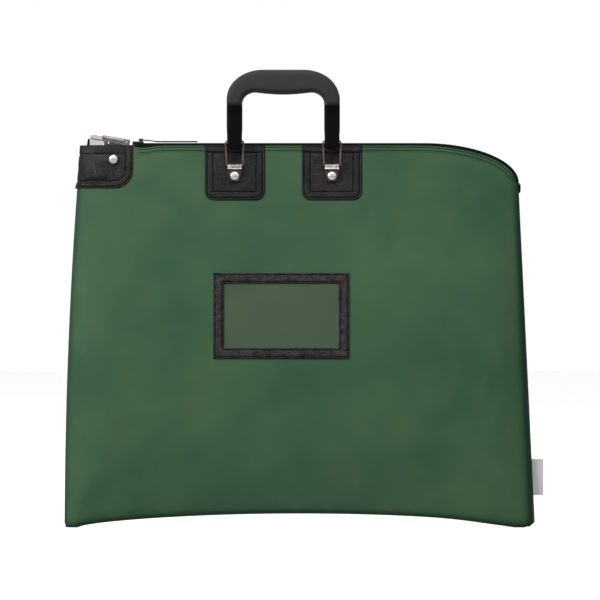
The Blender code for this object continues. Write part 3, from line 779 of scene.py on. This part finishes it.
def handle_patches():
    radius = 10.0
    for name in ("left", "right"):
        low, high = box_mm("handle_patch_" + name)
        x0, x1, z0, z1 = low[0], high[0], low[2], high[2] + 1.0

        def faces(r, c):
            x = mix(x0, x1, crowd(c / 110, 0.5))
            z = mix(z0, z1, crowd(r / 100, 0.5))
            x, z = into_round(x, z, x0, x1, z0, radius)
            inside = max(0.0, rounded_distance(x, z, x0, x1, z0, z1, radius))
            height = 0.25 + 1.3 * rounded(inside / 1.1)
            height -= groove(inside, PATCH_ROWS) * smooth((411.0 - z) / 3.0)
            height -= 0.6 * near(z - PATCH_TOP_ROW_Z, 0.6) + 0.5 * near(z - 411.3, 0.5)
            height += 0.25 * smooth((z - 405.8) / 1.0) * smooth((411.0 - z) / 0.8)
            height += 0.12 * noise.noise(Vector((x / 9.0, z / 9.0, 1.0)))
            out = SEAM + depth(x, z)
            return (x, -out - height, z), (x, -out - 0.1, z)

        form = shell(range(101), range(111), faces)
        patch = finished("vinyl_patch_" + name, form, "root", VINYL, angle=75.0)
        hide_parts("handle_patch_" + name)
        lines = [plate_line(x0, x1, z0, z1, radius, inset, 1.4) for inset in PATCH_ROWS]
        lines.append([Vector((x, -SEAM - depth(x, PATCH_TOP_ROW_Z) - 1.45, PATCH_TOP_ROW_Z))
                      for x in (mix(x0 + 3.5, x1 - 3.5, i / 20) for i in range(21))])
        stitches("patch_stitches_" + name, lines, "root", BLACK_THREAD,
                 pitch=2.6, length=2.0, width=1.15, height=0.9)


def plate_line(x0, x1, z0, z1, radius, inset, lift, top_gap=5.0):
    """A stitch line down one side, round the lower corners and up the other side."""
    r = max(radius - inset, 1.0)
    left, right, low = x0 + inset, x1 - inset, z0 + inset
    flat = [(left, z1 - top_gap), (left, low + r)]
    flat += [(left + r - r * math.cos(a), low + r - r * math.sin(a))
             for a in (math.pi / 2 * k / 8 for k in range(1, 9))]
    flat += [(right - r + r * math.sin(a), low + r - r * math.cos(a))
             for a in (math.pi / 2 * k / 8 for k in range(0, 9))]
    flat += [(right, z1 - top_gap)]
    dense = []
    for (ax, az), (bx, bz) in zip(flat, flat[1:]):
        steps = max(1, int(math.hypot(bx - ax, bz - az) / 3.0))
        dense += [(mix(ax, bx, k / steps), mix(az, bz, k / steps)) for k in range(steps)]
    dense.append(flat[-1])
    return [Vector((x, -SEAM - depth(x, z) - lift, z)) for x, z in dense]


def card_frame():
    """Leatherette frame round the card window, padded a little, with the film behind it."""
    low, high = box_mm("card_frame")
    x0, x1, z0, z1 = low[0], high[0], low[2], high[2]
    border = 11.3
    side_steps = [border * crowd(k / 24, 0.6) for k in range(25)]

    def lines(a, b, middle):
        inner = [mix(a + border, b - border, k / middle) for k in range(1, middle)]
        return [a + s for s in side_steps] + inner + [b - s for s in reversed(side_steps)]

    xs, zs = lines(x0, x1, 70), lines(z0, z1, 42)
    hole_x, hole_z = (x0 + border, x1 - border), (z0 + border, z1 - border)

    def faces(z, x):
        outer = min(x - x0, x1 - x, z - z0, z1 - z)
        inner = max(hole_x[0] - x, x - hole_x[1], hole_z[0] - z, z - hole_z[1])
        inside = max(0.0, min(outer, inner))
        height = 1.0 + 1.3 * rounded(inside / 1.6) - groove(outer, (2.0,), 0.7, 0.6) \
            - groove(inner, (1.8,), 0.7, 0.6)
        height += 0.16 * noise.noise(Vector((x / 7.0, z / 7.0, 5.0)))
        out = skin(x, z)
        return (x, -out - height, z), (x, -out - 0.35, z)

    last_row, last_col = len(zs) - 2, len(xs) - 2
    form = shell(zs, xs, faces, lambda r, c: min(r, c, last_row - r, last_col - c) < 24)
    piece = finished("window_frame", form, "root", FRAME_VINYL, angle=75.0)
    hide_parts("card_frame")
    loops = []
    for inset, lift in ((2.0, 2.2), (border - 1.8, 2.25)):
        a, b, c, d = x0 + inset, x1 - inset, z0 + inset, z1 - inset
        corners = [(a, c), (b, c), (b, d), (a, d), (a, c)]
        points = []
        for (ax, az), (bx, bz) in zip(corners, corners[1:]):
            points += [(mix(ax, bx, k / 30), mix(az, bz, k / 30)) for k in range(30)]
        loops.append([Vector((x, -skin(x, z) - lift, z)) for x, z in points + [corners[0]]])
    stitches("frame_stitches", loops, "root", BLACK_THREAD,
             pitch=2.6, length=2.1, width=1.0, height=0.9)
    low, high = box_mm("card_window_film")
    front, back = [], []
    for r in range(31):
        z = mix(low[2] + 2.0, high[2] - 2.0, r / 30)
        row = [(x, -skin(x, z), z) for x in (mix(low[0] + 2.0, high[0] - 2.0, c / 40) for c in range(41))]
        ripple = [0.12 * noise.noise(Vector((x / 22.0, z / 30.0, 9.0))) for x, _, z in row]
        front.append([(x, y - 0.75 - e, z) for (x, y, z), e in zip(row, ripple)])
        back.append([(x, y - 0.45 - e, z) for (x, y, z), e in zip(row, ripple)])
    form = lofted(front, back)
    film = finished("window_film", form, "root", FILM, angle=75.0)
    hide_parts("card_window_film")


# ---- lock corner ----
def lock_corner():
    """Vinyl wrapped round the upper left corner, bulged by the lock case inside it."""
    x1, z0, z1, radius = -185.2, 366.8, 413.6, 20.0
    around = 54

    def faces(r, c):
        z = mix(z0, z1, crowd(r / 72, 0.4))
        rise = min(radius, z - z0)
        right = x1 - (radius - math.sqrt(max(0.0, radius ** 2 - (radius - rise) ** 2)))
        left = left_edge(z) - 1.9 * smooth((376.0 - z) / 9.0)
        side, t = 0.0, 0.0
        if c < around:
            side, t = -1.0, 1.0 - crowd(c / around, 0.4)
        elif c > around + 8:
            side, t = 1.0, crowd((c - around - 8) / around, 0.4)
        x = mix(left, right, t)
        inside = min(right - x if t > 0 else 99.0, z - z0)
        if x > x1 - radius and z < z0 + radius:
            inside = radius - math.hypot(x - x1 + radius, z - z0 - radius)
        inside = max(0.0, inside)
        height = 0.3 + 1.2 * rounded(inside / 1.1) - groove(inside, LOCK_ROWS)
        bulge = smooth((x + 243.0) / 10.0) * smooth((-208.0 - x) / 16.0)
        height += 2.2 * bulge * smooth((z - 371.0) / 9.0) * smooth((401.0 - z) / 6.0)
        height -= 0.7 * near(z - 403.6, 1.3) * smooth((-190.0 - x) / 20.0)
        height += 0.35 * noise.noise(Vector((x / 12.0, z / 7.0, 2.0 + side)))
        height = max(height, 0.2)
        if side == 0.0:
            angle = math.pi * (c - around) / 8
            reach = SEAM + EDGE_DEPTH
            return ((left - (height + 0.2) * math.sin(angle), -(reach + height) * math.cos(angle), z),
                    (left - 0.15 * math.sin(angle), -(reach + 0.1) * math.cos(angle), z))
        out = SEAM + depth(x, z)
        return (x, side * (out + height), z), (x, side * (out + 0.1), z)

    form = shell(range(73), range(2 * around + 9), faces)
    cover = finished("lock_corner_vinyl", form, "root", VINYL, angle=75.0)
    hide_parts("lock_cover_front", "lock_cover_back")
    for name, side in (("front", 1.0), ("back", -1.0)):
        lines = []
        for inset in LOCK_ROWS:
            r = radius - inset
            low = z0 + inset
            flat = [(mix(left_edge(low) + 2.0, x1 - radius, k / 12), low) for k in range(12)]
            flat += [(x1 - radius + r * math.sin(a), z0 + radius - r * math.cos(a))
                     for a in (math.pi / 2 * k / 10 for k in range(11))]
            flat += [(x1 - inset, mix(z0 + radius, z1 - 5.0, k / 6)) for k in range(1, 7)]
            lines.append([Vector((x, -SEAM - depth(x, z) - 1.4, z)) for x, z in flat])
        stitches("lock_stitches_" + name, lines, "root", BLACK_THREAD, side=side,
                 pitch=2.6, length=2.0, width=1.15, height=0.9)
    lock_roof()


def lock_roof():
    """The vinyl that closes the top of the lock corner, open where the bolt goes down."""
    xs = [mix(-240.8, -237.0, k / 4) for k in range(5)] + [-236.9, -226.0, -215.2]
    xs += [mix(-214.0, -196.4, k / 6) for k in range(7)]
    front, back = [], []
    for x in xs:
        width = depth(x, CORNER_TOP_Z - 0.5) + SEAM + 0.1
        hole = min(4.7, width * 0.7)
        ys = [-width, -width * 0.9, -hole, hole, width * 0.9, width]
        heights = (413.2, 413.5, 413.4, 413.4, 413.5, 413.2)
        front.append([(x, y, z) for y, z in zip(ys, heights)])
        back.append([(x, y, 412.2 - 0.3 * (abs(y) >= hole)) for y in ys])
    form = lofted(front, back, keep=lambda r, c: not (c == 2 and 5 <= r < 7))
    finished("lock_roof_vinyl", form, "root", VINYL, angle=50.0)


def rivets():
    for node in ("bracket_rivet_left", "bracket_rivet_right", "cover_rivet", "cover_rivet_cap"):
        low, high = box_mm(node)
        back = node == "cover_rivet_cap"
        base = (low[1] - MID_Y) * -1.0 if back else high[1] - MID_Y
        centre = ((low[0] + high[0]) / 2, base, (low[2] + high[2]) / 2)
        form = dome_head(centre, 5.0, 0.7, 2.35)
        piece = finished(node + "_dome", form, "root", CHROME, angle=50.0,
                          side=-1.0 if back else 1.0)
        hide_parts(node)


# ---- rings, brackets and handle ----
RING_LENGTH, RING_LEAN, RING_WIRE = 28.0, math.radians(15), 1.0
RING_HINGE_Y, RING_HINGE_Z = -20.2, 390.5
LEG_SPREAD = 52.4


def wire_rings():
    for name in ("left", "right"):
        low, high = box_mm("wire_ring_" + name)
        x = (low[0] + high[0]) / 2
        base = Vector((x, RING_HINGE_Y, RING_HINGE_Z))
        corners = [(8.6, 0.0, 2.6), (9.75, RING_LENGTH, 3.4),
                   (-9.75, RING_LENGTH, 3.4), (-8.6, 0.0, 2.6)]
        path = []
        for i, (cx, cz, radius) in enumerate(corners):
            here = Vector((cx, cz))
            before = (Vector(corners[i - 1][:2]) - here).normalized() * radius
            after = (Vector(corners[(i + 1) % 4][:2]) - here).normalized() * radius
            path += [here + before * (1 - k / 12) ** 2 + after * (k / 12) ** 2 for k in range(13)]
        up = Vector((0.0, -math.sin(RING_LEAN), math.cos(RING_LEAN)))
        out = Vector((0.0, -math.cos(RING_LEAN), -math.sin(RING_LEAN)))
        sections = []
        for i, point in enumerate(path):
            along = (path[(i + 1) % len(path)] - path[i - 1]).normalized()
            side = Vector((along.y, 0.0, 0.0)) - up * along.x
            middle = base + Vector((point.x, 0.0, 0.0)) + up * point.y
            sections.append([tuple(middle + (side * math.cos(a) + out * math.sin(a)) * RING_WIRE)
                             for a in turns(16)])
        form = swept(sections, closed=True)
        piece = finished("ring_wire_" + name, form, name + "_ring", BRONZE)
        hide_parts("wire_ring_" + name)


def brackets():
    """A ribbed strap folded over each ring's lower bar and riveted below it."""
    out, hinge_z, r = -RING_HINGE_Y, RING_HINGE_Z, 1.9
    ribbed = range(9, 33)
    for name in ("left", "right"):
        low, high = box_mm("ring_bracket_" + name)
        x = (low[0] + high[0]) / 2
        path = [(r - out, 374.2), (r - out, 381.0), (r - out, 388.5)]
        path += [(-out + r * math.cos(a), hinge_z + r * math.sin(a))
                 for a in (math.pi * k / 14 for k in range(15))]
        path += [(-out - r + 0.3 * (k / 15) ** 2, mix(390.3, 387.3, k / 15)) for k in range(1, 16)]
        path += [(-out - r + 1.3, 386.5), (0.35 - out, 386.0), (0.35 - out, 383.0),
                 (0.35 - out, 380.0), (0.35 - out, 377.0), (0.35 - out, 374.2)]
        front, back = [], []
        for i, (y, z) in enumerate(path):
            before = Vector(path[max(0, i - 1)])
            after = Vector(path[min(len(path) - 1, i + 1)])
            along = (after - before).normalized()
            side = Vector((along.y, -along.x)) * 0.5
            if z < 387.0:
                width = mix(3.4, 7.3, math.sqrt(clamp01((z - 373.8) / 10.5)))
            else:
                width = mix(7.8, 7.0, smooth((z - 387.5) / 3.0))
            front_row, back_row = [], []
            for k in range(25):
                t = k / 12 - 1.0
                rib = 0.0
                if i in ribbed:
                    rib = 0.5 * math.cos(z * math.pi * 1.45) * smooth((1.0 - abs(t)) * 9.0)
                front_row.append((x + width * t, y + side.x * (1 + rib), z + side.y * (1 + rib)))
                back_row.append((x + width * t, y - side.x, z - side.y))
            front.append(front_row)
            back.append(back_row)
        form = lofted(front, back)
        piece = finished("bracket_strap_" + name, form, "root", NICKEL,
                          angle=50.0)
        # painted shade and dark reflection: the nickel strap's plate below the ribs is coloured as blackened
        # steel
        piece.data.materials.append(DARK_STEEL)
        for face in piece.data.polygons:
            if face.center.z < 386.6 * MM:
                face.material_index = 1
        bevel = piece.modifiers.new("soft_edges", "BEVEL")
        bevel.width, bevel.segments, bevel.limit_method = 0.0002, 2, "ANGLE"
        bpy.context.view_layer.objects.active = piece
        bpy.ops.object.modifier_apply(modifier="soft_edges")
        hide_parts("ring_bracket_" + name)


def handle():
    """One moulding: a swelled grip with rounded shoulders on two legs that carry the rings."""
    low, high = box_mm("handle")
    centre_x = (low[0] + high[0]) / 2
    top, foot_z = 493.6, low[2]
    axis_y = -27.447
    half = []
    for z, width in ((foot_z, 3.2), (foot_z + 0.35, 5.0), (foot_z + 1.1, 6.5), (foot_z + 2.3, 7.4),
                     (foot_z + 4.0, 7.95), (foot_z + 6.5, 8.1), (418.0, 8.1), (424.0, 8.1),
                     (427.0, 8.35), (431.0, 8.5), (436.0, 8.5), (442.0, 8.5), (447.0, 8.5)):
        half.append(((LEG_SPREAD + width, z), (LEG_SPREAD - width, z), 4.8 - 1.4 * smooth((411.0 - z) / 3.0)))
    for k in range(6):
        t = (k + 1) / 6
        half.append(((LEG_SPREAD + 8.5, mix(449.0, 461.0, t)), (LEG_SPREAD - 8.5, mix(448.5, 456.6, t)),
                     4.8 + 2.5 * smooth(t)))
    for k in range(1, 25):
        a = math.pi / 2 * k / 24
        c, s = math.cos(a), math.sin(a)
        outer = (21.9 + 39.0 * c, 462.2 + (top - 462.2) * s)
        half.append((outer, (29.9 + 14.0 * c, 457.3 + 12.0 * s), mix(7.4, 9.5, s)))
    for k in range(1, 9):
        t = k / 8
        half.append(((21.9 * (1 - t), top), (29.9 * (1 - t), 469.3 - 2.2 * math.sin(math.pi / 2 * t)), 9.5))
    whole = half + [((-o[0], o[1]), (-i[0], i[1]), d) for o, i, d in reversed(half[:-1])]
    sections = []
    for outer, inner, deep in whole:
        middle = (Vector(outer) + Vector(inner)) / 2
        reach = (Vector(outer) - Vector(inner)) / 2
        moulded = smooth((middle.y - 456.0) / 5.0)
        line_at = 1.0 - 2.6 / reach.length
        section = []
        for k in range(72):
            a = 2.0 * math.pi * k / 72
            c = math.copysign(abs(math.cos(a)) ** 0.5, math.cos(a))
            s = math.copysign(abs(math.sin(a)) ** 0.5, math.sin(a))
            point = middle + reach * c
            groove_here = 1.3 * moulded * near((-c - line_at) * reach.length, 0.7)
            step = 0.9 * moulded * smooth((-c - line_at) * reach.length / 0.8)
            section.append((centre_x + point.x, axis_y + (deep - groove_here - step) * s, point.y))
        sections.append(section)
    form = swept(sections)
    piece = finished("moulded_grip", form, "handle", HANDLE_PLASTIC, angle=60.0)
    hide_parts("handle")


# ---- small fittings ----
def pull_tab():
    """A folded vinyl strip with stitched edges, lying along the zip."""
    low, high = box_mm("pull_tab")
    x0, x1, y0, y1 = low[0], high[0], low[1] - MID_Y, high[1] - MID_Y

    def faces(r, c):
        x = mix(x0, x1, crowd(r / 60, 0.6))
        y = mix(y0, y1, crowd(c / 16, 0.5)) * mix(0.8, 1.0, rounded(min(x - x0, x1 - x) / 3.0))
        inside = min(y - y0, y1 - y, x - x0, x1 - x)
        height = 0.55 * rounded((inside + 0.2) / 0.8)
        height -= groove(inside, (1.5,), 0.35, 0.15)
        droop = 1.35 * smooth((x - x0 - 3.0) / 14.0)
        thick = 0.35 + 0.3 * smooth((x - x0 - 8.0) / 12.0)
        return (x, y, 419.1 + height * thick - droop + 0.3), (x, y, 418.9 - height * thick - droop + 0.1)

    form = shell(range(61), range(17), faces)
    piece = finished("pull_strip", form, "pull", VINYL, angle=75.0)
    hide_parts("pull_tab")


def side_label():
    """A small folded cloth label sewn into the right side seam."""
    low, high = box_mm("side_label")

    def faces(r, c):
        z, t = mix(low[2], high[2], r / 24), c / 12
        x = mix(right_edge(z) - 1.0, high[0] - 0.2, t)
        bend = 1.1 * math.sin(t * 2.2) * math.sin(z / 21.0)
        thick = 0.45 * math.sqrt(1.0 - max(0.0, t - 0.85) ** 2 / 0.0226)
        return (x, bend - thick, z), (x, bend + thick, z)

    form = shell(range(25), range(13), faces)
    piece = finished("cloth_label", form, "root", LABEL_CLOTH, angle=60.0)
    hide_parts("side_label")


LOCK_PIN = (-192.6, 417.3)
LOCK_TILT = math.radians(9.6)


def tilted(x, y, z):
    """A point of the closed lock head, turned up about its pin."""
    dx, dz = x - LOCK_PIN[0], z - LOCK_PIN[1]
    return (LOCK_PIN[0] + dx * math.cos(LOCK_TILT) + dz * math.sin(LOCK_TILT), y,
            LOCK_PIN[1] - dx * math.sin(LOCK_TILT) + dz * math.cos(LOCK_TILT))


def lock_head():
    """The lock's bar: a bright plain end over the bolt and a ridged length to the hinge."""
    x0, x1 = LOCK_PIN[0] - 40.0, LOCK_PIN[0] + 3.0
    sections = []
    for r in range(61):
        x = mix(x0, x1, crowd(r / 60, 0.7))
        end = rounded(min(x - x0, x1 - x) / 0.9)
        ridged = smooth((x - x0 - 13.5) / 1.0)
        section = []
        for k in range(48):
            a = 2.0 * math.pi * (k + 0.5) / 48
            y = 5.0 * math.copysign(abs(math.cos(a)) ** 0.22, math.cos(a))
            z = 3.1 * math.copysign(abs(math.sin(a)) ** 0.22, math.sin(a))
            if abs(y) > 4.4:
                y -= math.copysign(0.34 * ridged * (0.5 - 0.5 * math.cos(z * 2.0 * math.pi / 1.45)), y)
            section.append(tilted(x, y * mix(0.86, 1.0, end), LOCK_PIN[1] + z * mix(0.8, 1.0, end)))
        sections.append(section)
    form = swept(sections)
    bar = finished("lock_bar", form, "lock_head", STEEL, angle=35.0)
    bar.data.materials.append(CHROME)
    bar.data.materials.append(DARK_STEEL)
    for face in bar.data.polygons:
        if face.center.x < (x0 + 13.2) * MM:
            face.material_index = 1
        if abs(face.normal.x) > 0.9:
            face.material_index = 2
    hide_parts("lock_head_bar")
    # Blackened cheek plates with a rivet eye under the bar; their dark colour is also painted shade filling
    # the gap under the bar.
    for name, side in (("front", 1.0), ("back", -1.0)):
        lows = [(-217.0, 413.55), (-206.0, 413.55), (-196.5, 413.55)]
        highs = [(-217.0, 418.0), (-206.0, 416.0), (-196.5, 414.4)]
        outer, inner = ([[(x, y, z) for x, z in row] for row in (lows, highs)] for y in (-6.1, -5.4))
        finished("lock_cheek_" + name, lofted(outer, inner), "root", DARK_STEEL, side=side)
        form = dome_head((-212.0, -6.12, 415.6), 1.0, 0.25, 0.4)
        finished("cheek_rivet_" + name, form, "root", CHROME, side=side)


CARRIED = {
    "zip_end_stop": COIL, "slider_body": DARK_STEEL, "slider_lug_front": DARK_STEEL,
    "slider_lug_back": DARK_STEEL, "slider_lock_tongue": STEEL, "pull_link": DARK_STEEL,
    "lock_case": STEEL, "lock_hinge_post": STEEL, "lock_hinge_pin": CHROME,
    "lock_bolt": BOLT_STEEL, "key_plug": CHROME, "lock_cam": DARK_STEEL,
    "lock_spring": NICKEL, "inner_stay_left": BOARD, "inner_stay_right": BOARD,
    "rivet_washer_left": NICKEL, "rivet_washer_right": NICKEL,
}


def carried_nodes():
    """Finishes for the frame's own pieces that stay as they are."""
    for name, mat in CARRIED.items():
        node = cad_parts[name]
        node.data.materials.clear()
        node.data.materials.append(mat)


# ---- floor, light and camera ----
def studio():
    bpy.ops.mesh.primitive_plane_add(size=14.0, location=(0.0, 0.0, 0.0))
    floor = bpy.context.object
    floor.name = "floor"
    finish = Finish("pale_floor", (0.45, 0.45, 0.45), 0.9, Specular_IOR_Level=0.1)
    finish.colours(finish.detail(SMUDGE, Scale=2.0)["Mask"], (0.44, 0.44, 0.44), (0.46, 0.46, 0.46))
    seen_directly = add(finish.tree, "LightPath").outputs["Is Camera Ray"]
    finish.sockets["Emission Color"].default_value = (1.0, 1.0, 1.0, 1.0)
    feed(finish.tree, finish.sockets["Emission Strength"],
         maths(finish.tree, "MULTIPLY", seen_directly, 0.85))
    floor.data.materials.append(finish.mat)

    world = bpy.data.worlds.new("studio")
    bpy.context.scene.world = world
    world.use_nodes = True
    tree = world.node_tree
    sky = tree.nodes["Background"]
    sky.inputs["Color"].default_value = (1.0, 1.0, 1.0, 1.0)
    sky.inputs["Strength"].default_value = 0.16
    seen = add(tree, "Background", {"Color": (1.0, 1.0, 1.0, 1.0), "Strength": 1.0}).outputs[0]
    shine = add(tree, "Background", {"Color": (1.0, 0.98, 0.96, 1.0), "Strength": 0.75}).outputs[0]
    rays = add(tree, "LightPath").outputs
    mirrored = add(tree, "MixShader", {0: rays["Is Glossy Ray"], 1: sky.outputs[0], 2: shine}).outputs[0]
    either = add(tree, "MixShader", {0: rays["Is Camera Ray"], 1: mirrored, 2: seen}).outputs[0]
    tree.links.new(either, tree.nodes["World Output"].inputs["Surface"])

    for name, place, size, power in (("key", (-2.2, -2.0, 1.6), 0.95, 80.0),
                                     ("front", (0.2, -2.2, 2.5), 0.9, 46.0),
                                     ("overhead", (-0.1, -0.3, 2.0), 1.2, 8.0),
                                     ("rear", (1.5, 2.1, 1.3), 0.9, 60.0)):
        lamp = bpy.data.lights.new(name, "AREA")
        lamp.size, lamp.energy = size, power
        light = bpy.data.objects.new(name, lamp)
        bpy.context.scene.collection.objects.link(light)
        light.location = place
        light.rotation_euler = (Vector((0, 0, 0.24)) - Vector(place)).to_track_quat("-Z", "Y").to_euler()

    camera = bpy.data.cameras.new("camera")
    camera.lens, camera.sensor_width = 177.4, 36.0
    eye = bpy.data.objects.new("camera", camera)
    bpy.context.scene.collection.objects.link(eye)
    eye.location = (-0.0049, -3.2, 0.2462)
    eye.rotation_euler = (math.radians(90), 0.0, 0.0)
    bpy.context.scene.camera = eye
    bpy.context.scene.view_settings.view_transform = "Standard"


cloth_panel("cloth_front", "front_panel", 1.0)
cloth_panel("cloth_back", "back_panel", -1.0)
hem("front", 1.0)
hem("back", -1.0)
side_seams()
zip_halves()
zip_end()
handle_patches()
card_frame()
lock_corner()
rivets()
wire_rings()
brackets()
handle()
lock_head()
pull_tab()
side_label()
carried_nodes()
studio()
